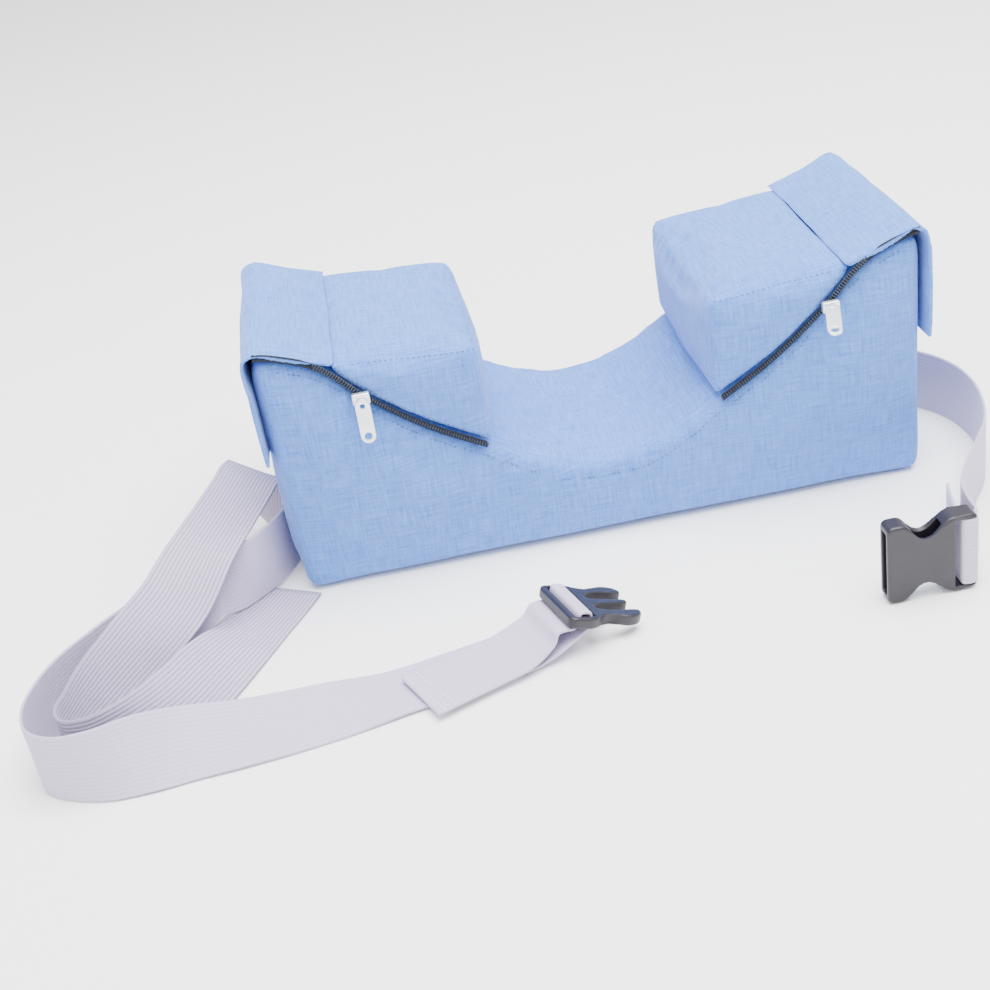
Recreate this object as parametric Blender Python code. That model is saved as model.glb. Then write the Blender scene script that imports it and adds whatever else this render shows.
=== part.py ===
"""Neck support pillow: a wave-topped foam base, two zipped wedges, cover flaps and an elastic belt.

Frame: +X along the pillow, +Y away from its front face, +Z up, origin at the middle of the underside.
Sizes below are in millimetres; meshes are made in metres.
"""

from bisect import bisect_right
from collections import namedtuple
from math import cos
from math import pi
from math import radians
from math import sin

import bmesh
import bpy
from mathutils import Matrix
from mathutils import Vector

MM = 0.001
GAP = 0.4

# The base cushion
LENGTH = 380.0
DEPTH = 146.0
EDGE_ROUND = 6.0
FACE_CROWN = 2.4
END_CROWN = 1.2
FRONT_LIFT = 1.6

# The wave of the base's top, the same on both sides of the middle
Wave = namedtuple("Wave", "reach height")
WAVE = (
    Wave(0, 48.0),
    Wave(30, 52.0),
    Wave(65, 72.5),
    Wave(100, 93.5),
    Wave(130, 117.5),
    Wave(153, 140.5),
    Wave(175, 151.0),
    Wave(190, 154.0),
)

# The wedges that sit on the slopes
WEDGE_INNER = 65.0
WEDGE_OUTER = 150.0
WEDGE_TOP_INNER = 137.0
WEDGE_TOP_OUTER = 143.5
WEDGE_THIN = 1.4
WEDGE_CROWN = 2.5

# The cover flaps, two layers of cloth sewn to the wedges' outer edges
FLAP_THICK = 2.4
FLAP_DROP = 88.0
FLAP_ARCH = 2.6
FLAP_SLACK = {-1: 2.4, 1: 0.3}

# The zips, their sliders and pull tabs
ZIP_HALF = 1.5
ZIP_FACE = 73.0
ZIP_DEEP = 1.7
ZIP_END = 150.0
SLIDER_REACH = 134.0
SLIDER_SIZE = (10.0, 4.0, 6.4)
SLIDER_CLEAR = 1.2
PULL_LONG = 26.0
PULL_WIDE = 8.4
PULL_THICK = 1.4
PULL_HOLE = 2.2
PULL_SLOT = 3.0
PULL_SWING = {-1: 8.0, 1: 75.0}
PULL_TURN = {-1: 0.0, 1: 15.0}

# The elastic webbing, held a little above the ground
WEB_WIDTH = 40.0
WEB_THICK = 1.6
WEB_STEP = 8.0
WEB_FLOOR = 0.3

# One row for each bend of the webbing: its middle, and the way across it, from its lower edge up
Station = namedtuple("Station", "x y z across_x across_y across_z")
LONG_BELT = (
    Station(-192.4, -30, 20.6, 0, 0, 1),
    Station(-197, -41, 21.5, 0, 0, 1),
    Station(-206, -58, 23, 0, 0, 1),
    Station(-216, -70, 23.8, 0, 0, 1),
    Station(-227, -76, 24.5, -0.12, 0.22, 0.97),
    Station(-241, -80, 25.2, -0.30, 0.52, 0.80),
    Station(-257, -89, 18.5, -0.38, 0.66, 0.64),
    Station(-274, -104, 18.5, -0.22, 0.38, 0.90),
    Station(-289, -117.5, 21.2, -0.06, 0.10, 0.99),
    Station(-303, -130, 21.2, 0, 0, 1),
    Station(-318, -149, 21.2, 0, 0, 1),
    Station(-328, -171, 21.2, 0, 0, 1),
    Station(-331.5, -192, 21.2, 0, 0, 1),
    Station(-327, -210, 21.2, 0, 0, 1),
    Station(-313, -220, 21.2, 0, 0, 1),
    Station(-295, -222.5, 20.8, 0, 0.17, 0.98),
    Station(-275, -217, 18.5, -0.03, 0.50, 0.87),
    Station(-252, -208.5, 13, -0.06, 0.80, 0.60),
    Station(-228, -204.5, 9.5, -0.08, 0.91, 0.40),
    Station(-202, -200.5, 7, -0.14, 0.94, 0.30),
    Station(-176, -195.5, 5, -0.17, 0.96, 0.20),
    Station(-145, -188, 2.2, -0.20, 0.98, 0),
    Station(-115, -182, 1.9, -0.24, 0.97, 0),
    Station(-88, -176, 1.9, -0.27, 0.96, 0),
    Station(-72, -172.5, 2.6, -0.26, 0.96, -0.02),
    Station(-60, -169.5, 5.0, -0.22, 0.97, -0.08),
)
TAIL = (
    Station(-64, -169.5, 11.0, -0.27, 0.96, -0.09),
    Station(-70, -172.5, 8.2, -0.34, 0.93, -0.06),
    Station(-81, -178, 5.4, -0.42, 0.90, -0.02),
    Station(-97, -184, 4.6, -0.42, 0.90, 0),
    Station(-115, -191.5, 4.6, -0.44, 0.89, 0),
    Station(-133, -199.5, 5.2, -0.47, 0.88, 0.02),
)
LOOP_BELT = (
    Station(-198.4, -65.6, 1.8, -0.86, 0.51, 0),
    Station(-209, -84, 2.0, -0.86, 0.50, 0.06),
    Station(-219, -101, 3.4, -0.84, 0.48, 0.13),
    Station(-233, -129, 9.4, -0.79, 0.45, 0.42),
    Station(-244, -153, 14, -0.64, 0.42, 0.64),
    Station(-256, -176, 17, -0.47, 0.39, 0.79),
    Station(-268, -192.5, 19.4, -0.25, 0.33, 0.91),
    Station(-283, -204, 21, -0.05, 0.14, 0.99),
    Station(-298, -209.5, 21.4, 0, 0, 1),
    Station(-309.5, -207.5, 21.4, 0, 0, 1),
    Station(-314, -198, 21.4, 0, 0, 1),
    Station(-311, -184, 21.4, 0, 0, 1),
    Station(-298, -157, 22.5, -0.27, 0.08, 0.96),
    Station(-284, -134, 24.5, -0.44, 0.15, 0.88),
    Station(-274.5, -123.5, 28, -0.61, 0.17, 0.77),
    Station(-260, -105.5, 33.5, -0.74, 0.22, 0.63),
    Station(-242, -80, 47.4, -0.87, 0.40, 0.27),
    Station(-228, -51, 52, -0.86, 0.46, 0.20),
    Station(-217, -28, 55.5, -0.78, 0.60, 0.20),
    Station(-211, -15, 57.5, -0.76, 0.62, 0.18),
    Station(-208, -7, 55, -0.74, 0.66, 0.12),
    Station(-207.5, -3, 47, -0.70, 0.71, 0.05),
    Station(-209, -2, 32, -0.64, 0.77, 0),
    Station(-209, 0, 16, -0.50, 0.87, 0),
    Station(-206, 3, 5.5, -0.25, 0.97, 0),
    Station(-199, 5.8, 1.8, 0, 1, 0),
    Station(-189.8, 6, 1.5, 0, 1, 0),
)
SHORT_BELT = (
    Station(191.8, 32, 20.6, 0, 0, 1),
    Station(201, 23, 20.6, 0, 0, 1),
    Station(213, 9.5, 20.6, 0, 0, 1),
    Station(223, -5, 20.6, 0, 0, 1),
    Station(229, -22, 20.6, 0, 0, 1),
    Station(230.5, -42, 20.6, 0, 0, 1),
    Station(227, -66, 20.6, 0, 0, 1),
    Station(217, -94, 20.8, 0, 0, 1),
    Station(199, -121, 21.4, 0, 0, 1),
    Station(184, -143, 22.4, 0, 0, 1),
    Station(175, -161, 23.4, 0, 0, 1),
    Station(172, -176, 23.9, 0, 0, 1),
    Station(171.2, -188, 23.9, 0, 0, 1),
)

# The side-release buckle's socket, standing on its long edge
SOCKET_PLACE = (119.5, -192.0, 0.4)
SOCKET_LONG = 49.0
SOCKET_WIDE = 47.0
SOCKET_THICK = 12.0
SOCKET_WAIST = 10.5
SOCKET_CAVITY = (33.0, 38.0, 6.6)
SOCKET_SLOT = (36.5, 42.5)
SOCKET_SLOT_WIDE = 41.2
BAR_THICK = 5.0
BAR_RELIEF = 2.0

# The buckle's plug, nose down on its prongs
PLUG_PLACE = (-54.0, -165.5, 20.4)
PLUG_YAW = 12.0
PLUG_PITCH = 19.5
PLUG_ROLL = -6.0
PLUG_THICK = 6.4
PLUG_REAR_SLOT = (3.8, 7.8)
PLUG_FRONT_SLOT = (11.6, 15.6)
PLUG_SLOT_WIDE = 41.2

Paint = namedtuple("Paint", "red green blue rough metal")
CLOTH_BLUE = Paint(0.33, 0.56, 0.80, 0.95, 0.0)
WEB_LILAC = Paint(0.74, 0.72, 0.78, 0.85, 0.0)
ZIP_NAVY = Paint(0.03, 0.04, 0.09, 0.70, 0.0)
TAB_SILVER = Paint(0.80, 0.81, 0.84, 0.30, 1.0)
BUCKLE_BLACK = Paint(0.03, 0.028, 0.04, 0.35, 0.0)


def clear_scene():
    """Remove every object that the file starts with."""
    for item in list(bpy.data.objects):
        bpy.data.objects.remove(item, do_unlink=True)


def make_material(name, paint):
    """Return a Principled material of one paint."""
    material = bpy.data.materials.new(name)
    material.use_nodes = True
    shader = material.node_tree.nodes["Principled BSDF"]
    shader.inputs["Base Color"].default_value = (paint.red, paint.green, paint.blue, 1.0)
    shader.inputs["Roughness"].default_value = paint.rough
    shader.inputs["Metallic"].default_value = paint.metal
    return material


def add_piece(name, shape, material, smooth=40.0):
    """Turn a bmesh in millimetres into a named object in metres."""
    bmesh.ops.recalc_face_normals(shape, faces=shape.faces)
    bmesh.ops.scale(shape, vec=(MM, MM, MM), verts=shape.verts)
    mesh = bpy.data.meshes.new(name)
    shape.to_mesh(mesh)
    shape.free()
    mesh.shade_smooth()
    mesh.set_sharp_from_angle(angle=radians(smooth))
    mesh.materials.append(material)
    piece = bpy.data.objects.new(name, mesh)
    bpy.context.collection.objects.link(piece)
    return piece


def wave_height(x):
    """Height of the base's top at x: a smooth curve through the rows of WAVE, mirrored at the middle."""
    reach = min(abs(x), WAVE[-1].reach)
    row = min(bisect_right([wave.reach for wave in WAVE], reach) - 1, len(WAVE) - 2)
    left, right = WAVE[row], WAVE[row + 1]
    span = right.reach - left.reach
    share = (reach - left.reach) / span
    rise = wave_slope(row) * span
    fall = wave_slope(row + 1) * span
    square, cube = share ** 2, share ** 3
    return ((2 * cube - 3 * square + 1) * left.height + (cube - 2 * square + share) * rise
            + (3 * square - 2 * cube) * right.height + (cube - square) * fall)


def wave_slope(row):
    """Slope of the wave at one of its rows, level at the middle and at the end."""
    if row in (0, len(WAVE) - 1):
        return 0.0
    before, after = WAVE[row - 1], WAVE[row + 1]
    return (after.height - before.height) / (after.reach - before.reach)


def stops(low, high, edge, count):
    """Places from low to high: close together within edge of both ends, and even between."""
    inner = [low + edge + (high - low - 2 * edge) * step / count for step in range(count + 1)]
    return [low, low + 0.4 * edge] + inner + [high - 0.4 * edge, high]


def block(columns, rows, layers, place):
    """Closed skin of a grid block, whose points place(column, row, layer) sets."""
    shape = bmesh.new()
    points = {}
    last = (len(columns) - 1, len(rows) - 1, len(layers) - 1)

    def point(i, j, k):
        if (i, j, k) not in points:
            points[i, j, k] = shape.verts.new(place(columns[i], rows[j], layers[k]))
        return points[i, j, k]

    for i in range(last[0]):
        for j in range(last[1]):
            for k in (0, last[2]):
                shape.faces.new((point(i, j, k), point(i + 1, j, k), point(i + 1, j + 1, k), point(i, j + 1, k)))
        for k in range(last[2]):
            for j in (0, last[1]):
                shape.faces.new((point(i, j, k), point(i + 1, j, k), point(i + 1, j, k + 1), point(i, j, k + 1)))
    for j in range(last[1]):
        for k in range(last[2]):
            for i in (0, last[0]):
                shape.faces.new((point(i, j, k), point(i, j + 1, k), point(i, j + 1, k + 1), point(i, j, k + 1)))
    return shape


def rounded(spot, half, radius):
    """Move a point of a box's skin onto the same box with rounded edges."""
    radii = [min(radius, 0.9 * size) for size in half]
    core = [max(-(size - turn), min(size - turn, value)) for value, size, turn in zip(spot, half, radii)]
    away = Vector([(value - base) / turn for value, base, turn in zip(spot, core, radii)])
    if away.length > 0:
        away.normalize()
    return Vector([base + turn * step for base, turn, step in zip(core, radii, away)])


def hump(share):
    """A soft rise from 0 at both ends of -1 to 1 to 1 in the middle."""
    return 1.0 - share * share


def base_cushion():
    """The base: a foam block with a wave top, rounded edges and slightly crowned faces."""
    half_long, half_deep = LENGTH / 2, DEPTH / 2

    def place(x, y, level):
        height = wave_height(x)
        half_high = height / 2
        spot = rounded((x, y, (level - 0.5) * height), (half_long, half_deep, half_high), EDGE_ROUND)
        up, along, across = 2 * level - 1, x / half_long, y / half_deep
        spot.y += across * FACE_CROWN * hump(along) * hump(up)
        spot.x += along ** 9 * END_CROWN * hump(across) * hump(up)
        lift = FRONT_LIFT * hump(along) * max(0.0, abs(across) - 0.8) / 0.2 * max(0.0, -up)
        spot.z += half_high + lift
        return spot

    columns = stops(-half_long, half_long, EDGE_ROUND, 40)
    rows = stops(-half_deep, half_deep, EDGE_ROUND, 6)
    layers = [0.0, 0.03, 0.09, 0.35, 0.65, 0.91, 0.97, 1.0]
    return block(columns, rows, layers, place)


def wedge(side):
    """A wedge: upright inside, thin outside, its underside on the base's slope."""
    middle = (WEDGE_INNER + WEDGE_OUTER) / 2
    half_long, half_deep = (WEDGE_OUTER - WEDGE_INNER) / 2, DEPTH / 2

    def place(reach, y, level):
        share = (reach - WEDGE_INNER) / (WEDGE_OUTER - WEDGE_INNER)
        low = wave_height(reach) + 1.5 * GAP
        high = max(low + WEDGE_THIN, WEDGE_TOP_INNER + (WEDGE_TOP_OUTER - WEDGE_TOP_INNER) * share)
        half_high = (high - low) / 2
        spot = rounded((reach - middle, y, (2 * level - 1) * half_high), (half_long, half_deep, half_high), EDGE_ROUND)
        up, along, across = 2 * level - 1, 2 * share - 1, y / half_deep
        spot.y += across * FACE_CROWN * hump(along) * hump(up)
        spot.x -= FACE_CROWN * max(0.0, -along) ** 9 * hump(across) * hump(up)
        spot.z += low + half_high + WEDGE_CROWN * hump(along) * hump(across) * max(0.0, up) ** 3
        spot.x = side * (spot.x + middle)
        return spot

    columns = stops(WEDGE_INNER, WEDGE_OUTER, EDGE_ROUND, 9)
    rows = stops(-half_deep, half_deep, EDGE_ROUND, 6)
    layers = [0.0, 0.05, 0.12, 0.4, 0.7, 0.9, 0.96, 1.0]
    return block(columns, rows, layers, place)


def smooth_route(points, step):
    """Points about step apart on a smooth curve through all the given vectors, of any dimension."""
    spots = [Vector(point) for point in points]
    first = spots[0] + (spots[0] - spots[1])
    last = spots[-1] + (spots[-1] - spots[-2])
    padded = [first] + spots + [last]
    route = []
    for before, start, end, after in zip(padded, padded[1:], padded[2:], padded[3:]):
        gap = (end - start).length
        near = max((start - before).length, 0.5 * gap)
        far = max((after - end).length, 0.5 * gap)
        lean_in = ((end - start) / gap + (start - before) / near - (end - before) / (gap + near)) * gap
        lean_out = ((end - start) / gap + (after - end) / far - (after - start) / (gap + far)) * gap
        count = max(1, round(gap / step))
        for turn in range(count):
            share = turn / count
            square, cube = share ** 2, share ** 3
            route.append(start * (2 * cube - 3 * square + 1) + lean_in * (cube - 2 * square + share)
                         + end * (3 * square - 2 * cube) + lean_out * (cube - square))
    route.append(spots[-1])
    return route


def ribbon(centres, acrosses, cross, thick):
    """Closed sheet of even thickness: centres give its run, acrosses its width's way.

    cross lists (place across, lift) for the points of its width. Both faces are split along the same
    diagonals, so they stay apart where the sheet twists.
    """
    shape = bmesh.new()
    rings = []
    for index, centre in enumerate(centres):
        ahead = centres[min(index + 1, len(centres) - 1)]
        behind = centres[max(index - 1, 0)]
        along = (ahead - behind).normalized()
        across = acrosses[index] - along * acrosses[index].dot(along)
        across.normalize()
        normal = along.cross(across)
        upper = [centre + across * place + normal * (lift + thick / 2) for place, lift in cross(index)]
        lower = [centre + across * place + normal * (lift - thick / 2) for place, lift in cross(index)]
        rings.append([shape.verts.new(spot) for spot in upper + lower[::-1]])
    count = len(rings[0])
    for first, second in zip(rings, rings[1:]):
        for index in range(count):
            after = (index + 1) % count
            near, far = first[index], second[after]
            if index >= count // 2:
                near, far = first[after], second[index]
            shape.faces.new((first[index], first[after], far))
            shape.faces.new((near, second[after], second[index]))
    for ring in (rings[0], rings[-1]):
        for index in range(count // 2 - 1):
            shape.faces.new((ring[index], ring[index + 1], ring[count - 2 - index], ring[count - 1 - index]))
    return shape


def web(centres, acrosses):
    """A run of the belt's webbing."""
    half = WEB_WIDTH / 2
    shape = ribbon(centres, acrosses, lambda index: ((-half, 0.0), (0.0, 0.0), (half, 0.0)), WEB_THICK)
    for vert in shape.verts:
        vert.co.z = max(vert.co.z, WEB_FLOOR)
    return shape


def split_stations(stations, step=WEB_STEP):
    """Centres and across directions of a table of stations, eased between its rows."""
    wide = [tuple(station[:3]) + tuple(20.0 * value for value in station[3:]) for station in stations]
    route = smooth_route(wide, step)
    return [Vector(spot[:3]) for spot in route], [Vector(spot[3:6]) for spot in route]


def plug_axes():
    """Rotation of the plug: X towards its prongs, Y across, Z out of its upper face."""
    turned = Matrix.Rotation(radians(PLUG_YAW), 3, "Z") @ Matrix.Rotation(radians(PLUG_PITCH), 3, "Y")
    return turned @ Matrix.Rotation(radians(PLUG_ROLL), 3, "X")


def plug_station(forward, up):
    """A station of the webbing in the plug, from its forward and up sizes on the plug's middle plane."""
    spot = Vector(PLUG_PLACE) + plug_axes() @ Vector((forward, 0.0, up))
    return Station(*spot, *(plug_axes() @ Vector((0.0, 1.0, 0.0))))


def long_belt():
    """The long run: from the base's left end round to the plug, over its bar and back as the tail."""
    centres, acrosses = split_stations(LONG_BELT)
    half = (PLUG_FRONT_SLOT[0] - PLUG_REAR_SLOT[1]) / 2
    middle = PLUG_REAR_SLOT[1] + half
    face = PLUG_THICK / 2
    clear = WEB_THICK / 2 + GAP + 0.1
    slant = 0.7 * clear
    turn = [(half + clear, -face), (half + clear, face), (half + slant, face + slant), (half, face + clear)]
    turn += [(-half, face + clear), (-half - slant, face + slant), (-half - clear, face), (-half - clear, 0.0)]
    rising = [(middle + half - 1.1, -face - 3.4), (middle + half + 0.8, -face - 1.6)]
    falling = [(PLUG_REAR_SLOT[0] + 2.2, 0.6 - face), (PLUG_REAR_SLOT[0] + slant, -face - slant)]
    falling += [(PLUG_REAR_SLOT[0] - 0.4, -face - clear - 0.1), (0.0, -face - clear - 0.7), (-4.0, -face - clear - 2.2)]
    through = [plug_station(*spot) for spot in rising + [(middle + along, up) for along, up in turn] + falling]
    start = Station(*centres[-1], *(acrosses[-1] / 20.0))
    end_centres, end_acrosses = split_stations([start] + through + list(TAIL), WEB_STEP / 3)
    return web(centres + end_centres[1:], acrosses + end_acrosses[1:])


def loop_belt():
    """The slack stretch: out from the base's corner, round, and back over the long run."""
    return web(*split_stations(LOOP_BELT))


def short_belt():
    """The short run: from the base's right end round to the socket's bar and back."""
    centres, acrosses = split_stations(SHORT_BELT)
    bar_x = SOCKET_PLACE[0] + SOCKET_SLOT[1] + BAR_THICK / 2
    bar_y = SOCKET_PLACE[1]
    middle = centres[-1].z
    half = BAR_THICK / 2
    face = SOCKET_THICK / 2 - BAR_RELIEF
    clear = WEB_THICK / 2 + GAP + 0.15
    slant = 0.7 * clear
    turn = [(half + clear, 0.0), (half + clear, -face), (half + slant, -face - slant), (half, -face - clear)]
    turn += [(-half, -face - clear), (-half - slant, -face - slant), (-half - clear, -face), (-half - clear, 0.0)]
    turn += [(-half - clear, 4.5), (-1.6, 13.0), (0.0, 21.0), (3.2, 33.0)]
    points = [centres[-1]] + [Vector((bar_x + along, bar_y + away, middle)) for along, away in turn]
    end_run = smooth_route(points, WEB_STEP / 3)
    centres += end_run[1:]
    acrosses += [Vector((0.0, 0.0, 1.0))] * (len(end_run) - 1)
    return web(centres, acrosses)


def flap(side):
    """A cover flap: from the wedge's outer edge over the base's peak and down its end."""
    half_deep = DEPTH / 2 + 0.4
    end = LENGTH / 2 + END_CROWN + GAP + FLAP_SLACK[side] + FLAP_THICK / 2
    lift = GAP + FLAP_THICK / 2
    profile = [(153.0, wave_height(153.0) + lift + 1.0), (163.0, wave_height(163.0) + lift + 2.0)]
    profile += [(175.0, wave_height(175.0) + lift + 2.6), (185.0, wave_height(185.0) + lift + 2.0)]
    profile += [(end - 1.6, 153.0), (end, 146.0), (end + 0.4, 125.0), (end, FLAP_DROP)]
    centres = smooth_route([(side * x, 0.0, z) for x, z in profile], 6.0)
    rows = [half_deep * share for share in (-1.0, -0.93, -0.75, -0.4, 0.0, 0.4, 0.75, 0.93, 1.0)]
    over = len([spot for spot in centres if spot.z > 147.0])

    def cross(index):
        share = sin(pi * min(1.0, index / over))
        arch = -side * FLAP_ARCH * share
        return [(row, arch * max(0.0, abs(row) / half_deep - 0.5) * 2.0) for row in rows]

    return ribbon(centres, [Vector((0.0, 1.0, 0.0))] * len(centres), cross, FLAP_THICK)


def zip_band(side):
    """The zip's tapes and teeth, a narrow band in the groove between the wedge and the base."""
    shape = bmesh.new()
    count = 20
    rings = []
    for index in range(count + 1):
        reach = WEDGE_INNER + 4.0 + (ZIP_END - WEDGE_INNER - 4.0) * index / count
        middle = wave_height(reach) + 0.75 * GAP
        deep = -ZIP_FACE + ZIP_DEEP
        corners = [(-ZIP_FACE, -ZIP_HALF), (deep, -0.45 * ZIP_HALF), (deep, 0.45 * ZIP_HALF), (-ZIP_FACE, ZIP_HALF)]
        rings.append([shape.verts.new((side * reach, y, middle + up)) for y, up in corners])
    for first, second in zip(rings, rings[1:]):
        for index in range(4):
            after = (index + 1) % 4
            shape.faces.new((first[index], first[after], second[after], second[index]))
    shape.faces.new(rings[0])
    shape.faces.new(rings[-1])
    return shape


def bevelled_box(size, centre, width):
    """A box with all its edges bevelled."""
    shape = bmesh.new()
    bmesh.ops.create_cube(shape, size=1.0)
    bmesh.ops.scale(shape, vec=size, verts=shape.verts)
    bmesh.ops.bevel(shape, geom=shape.edges[:], offset=width, segments=2, profile=0.5, affect="EDGES")
    bmesh.ops.translate(shape, vec=centre, verts=shape.verts)
    return shape


def plate(outline, low, high, axis_up):
    """An outline of (a, b) points drawn out from low to high; axis_up maps (a, b, c) to x, y, z."""
    shape = bmesh.new()
    bottom = [shape.verts.new(axis_up(a, b, low)) for a, b in outline]
    top = [shape.verts.new(axis_up(a, b, high)) for a, b in outline]
    for index in range(len(outline)):
        after = (index + 1) % len(outline)
        shape.faces.new((bottom[index], bottom[after], top[after], top[index]))
    shape.faces.new(bottom)
    shape.faces.new(top)
    return shape


def cut(piece, name, shape):
    """Cut a shape out of a piece with a Boolean, and keep the cutter hidden."""
    cutter = add_piece(name, shape, piece.data.materials[0])
    cutter.hide_render = True
    cutter.display_type = "WIRE"
    modifier = piece.modifiers.new(name, "BOOLEAN")
    modifier.operation = "DIFFERENCE"
    modifier.solver = "EXACT"
    modifier.object = cutter
    return cutter


def arc(centre_a, centre_b, radius, start, end, count):
    """Points of an arc from one angle to another, in degrees."""
    angles = [radians(start + (end - start) * step / count) for step in range(count + 1)]
    return [(centre_a + radius * cos(angle), centre_b + radius * sin(angle)) for angle in angles]


def socket_outline():
    """The socket's face: square mouth, drawn-in waist and square bar end, in X and Z."""
    mouth = SOCKET_WIDE / 2
    waist = mouth - SOCKET_WAIST
    tail = mouth - 0.6
    upper = [(0.0, mouth - 2.6), (0.8, mouth - 0.8), (2.6, mouth), (8.5, mouth), (11.0, mouth - 1.4)]
    upper += [(14.0, mouth - 5.4), (16.5, waist + 1.4), (19.0, waist), (22.5, waist), (25.5, waist + 1.6)]
    upper += [(28.5, waist + 5.0), (31.5, tail - 1.8), (34.5, tail - 0.2), (37.0, tail)]
    upper += [(SOCKET_LONG - 3.5, tail), (SOCKET_LONG - 1.0, tail - 0.8), (SOCKET_LONG, tail - 2.6)]
    return upper + [(a, -b) for a, b in reversed(upper)]


def socket(material):
    """The buckle's socket: open mouth, side windows and a bar for the webbing."""
    x, y, z = SOCKET_PLACE
    middle = z + SOCKET_WIDE / 2
    shape = plate(socket_outline(), -SOCKET_THICK / 2, SOCKET_THICK / 2, lambda a, b, c: (x + a, y + c, middle + b))
    bmesh.ops.bevel(shape, geom=shape.edges[:], offset=1.0, segments=1, profile=0.5, affect="EDGES")
    piece = add_piece("buckle_socket", shape, material, 35.0)
    long, wide, thick = SOCKET_CAVITY
    cut(piece, "cut_mouth", bevelled_box((long + 4.0, thick, wide), (x + long / 2 - 2.0, y, middle), 0.8))
    slot_long = SOCKET_SLOT[1] - SOCKET_SLOT[0]
    slot_x = x + (SOCKET_SLOT[0] + SOCKET_SLOT[1]) / 2
    slot_size = (slot_long, SOCKET_THICK + 4.0, SOCKET_SLOT_WIDE)
    cut(piece, "cut_slot", bevelled_box(slot_size, (slot_x, y, middle), 0.8))
    bar_x = x + SOCKET_SLOT[1] + BAR_THICK / 2 + 3.5
    relief = (BAR_THICK + 9.0, 2 * BAR_RELIEF, SOCKET_SLOT_WIDE)
    cut(piece, "cut_bar_front", bevelled_box(relief, (bar_x, y - SOCKET_THICK / 2, middle), 0.5))
    cut(piece, "cut_bar_back", bevelled_box(relief, (bar_x, y + SOCKET_THICK / 2, middle), 0.5))
    beyond = (8.0, SOCKET_THICK + 4.0, SOCKET_SLOT_WIDE)
    cut(piece, "cut_bar_end", bevelled_box(beyond, (x + SOCKET_SLOT[1] + BAR_THICK + 4.0, y, middle), 0.5))
    return piece


def plug_outline():
    """The plug's plan: a frame for the webbing, two sprung prongs and a guide between them."""
    side = [(0.0, 19.8), (0.9, 22.4), (3.2, 23.8), (13.0, 23.8), (16.4, 22.6), (19.0, 19.8), (22.0, 17.4)]
    side += [(25.5, 16.6), (28.8, 17.6), (31.8, 19.8), (35.5, 20.8), (39.5, 20.2), (42.8, 18.4), (45.2, 15.4)]
    side += [(45.6, 12.8), (44.2, 11.2), (40.5, 11.4), (34.5, 12.2), (28.5, 12.2), (23.5, 11.6), (20.6, 10.0)]
    side += [(19.8, 7.2), (20.6, 3.8), (23.5, 2.8), (41.0, 2.6), (43.4, 1.2)]
    return side + [(a, -b) for a, b in reversed(side)]


def plug(material):
    """The buckle's plug, with two slots that leave a bar for the webbing."""
    half = PLUG_THICK / 2
    shape = plate(plug_outline(), -half, half, lambda a, b, c: (a, b, c))
    bmesh.ops.bevel(shape, geom=shape.edges[:], offset=0.9, segments=1, profile=0.5, affect="EDGES")
    piece = add_piece("buckle_plug", shape, material, 35.0)
    place = Matrix.Translation(Vector(PLUG_PLACE) * MM) @ plug_axes().to_4x4()
    piece.matrix_world = place
    for name, slot in (("cut_rear_slot", PLUG_REAR_SLOT), ("cut_front_slot", PLUG_FRONT_SLOT)):
        size = (slot[1] - slot[0], PLUG_SLOT_WIDE, PLUG_THICK + 4.0)
        cutter = cut(piece, name, bevelled_box(size, ((slot[0] + slot[1]) / 2, 0.0, 0.0), 0.8))
        cutter.matrix_world = place
    return piece


def slider_spot(side):
    """Middle of a zip's slider, on the groove."""
    return Vector((side * SLIDER_REACH, -ZIP_FACE - SLIDER_CLEAR - SLIDER_SIZE[1] / 2, wave_height(SLIDER_REACH)))


def pull_tab(side, material):
    """A pull tab: a thin plate with rounded ends, a slot at its top and a hole near its foot."""
    spot = slider_spot(side)
    half = PULL_WIDE / 2
    outline = arc(0.0, -half, half, 0, 180, 8)
    outline += arc(0.0, half - PULL_LONG, half, 180, 360, 8)
    pivot = spot + Vector((0.0, -SLIDER_SIZE[1] / 2 - GAP, 1.0))
    turned = Matrix.Rotation(-radians(PULL_TURN[side]), 3, "Z") @ Matrix.Rotation(-radians(PULL_SWING[side]), 3, "X")

    def mapped(a, b, c):
        return pivot + turned @ Vector((a, c, b))

    piece = add_piece(f"pull_{side_name(side)}", plate(outline, -PULL_THICK, 0.0, mapped), material)
    for name, foot, radius in (("hole", half - PULL_LONG, PULL_HOLE), ("slot", -half, PULL_SLOT / 2)):
        ring = arc(0.0, foot, radius, 0, 330, 11)
        cut(piece, f"cut_{name}_{side_name(side)}", plate(ring, -PULL_THICK - 2.0, 2.0, mapped))
    return piece


def side_name(side):
    """The word for a side: left at -X, right at +X."""
    return "left" if side < 0 else "right"


def build():
    """Make every piece of the pillow and its belt."""
    clear_scene()
    cloth = make_material("blue_cloth", CLOTH_BLUE)
    webbing = make_material("lilac_webbing", WEB_LILAC)
    navy = make_material("navy_zip", ZIP_NAVY)
    silver = make_material("silver_tab", TAB_SILVER)
    black = make_material("black_buckle", BUCKLE_BLACK)
    add_piece("base_cushion", base_cushion(), cloth)
    for side in (-1, 1):
        word = side_name(side)
        add_piece(f"wedge_{word}", wedge(side), cloth)
        add_piece(f"flap_{word}", flap(side), cloth)
        add_piece(f"zip_{word}", zip_band(side), navy)
        add_piece(f"slider_{word}", bevelled_box(SLIDER_SIZE, slider_spot(side), 0.8), silver)
        pull_tab(side, silver)
    add_piece("belt_long", long_belt(), webbing)
    add_piece("belt_loop", loop_belt(), webbing)
    add_piece("belt_short", short_belt(), webbing)
    socket(black)
    plug(black)


build()
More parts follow.
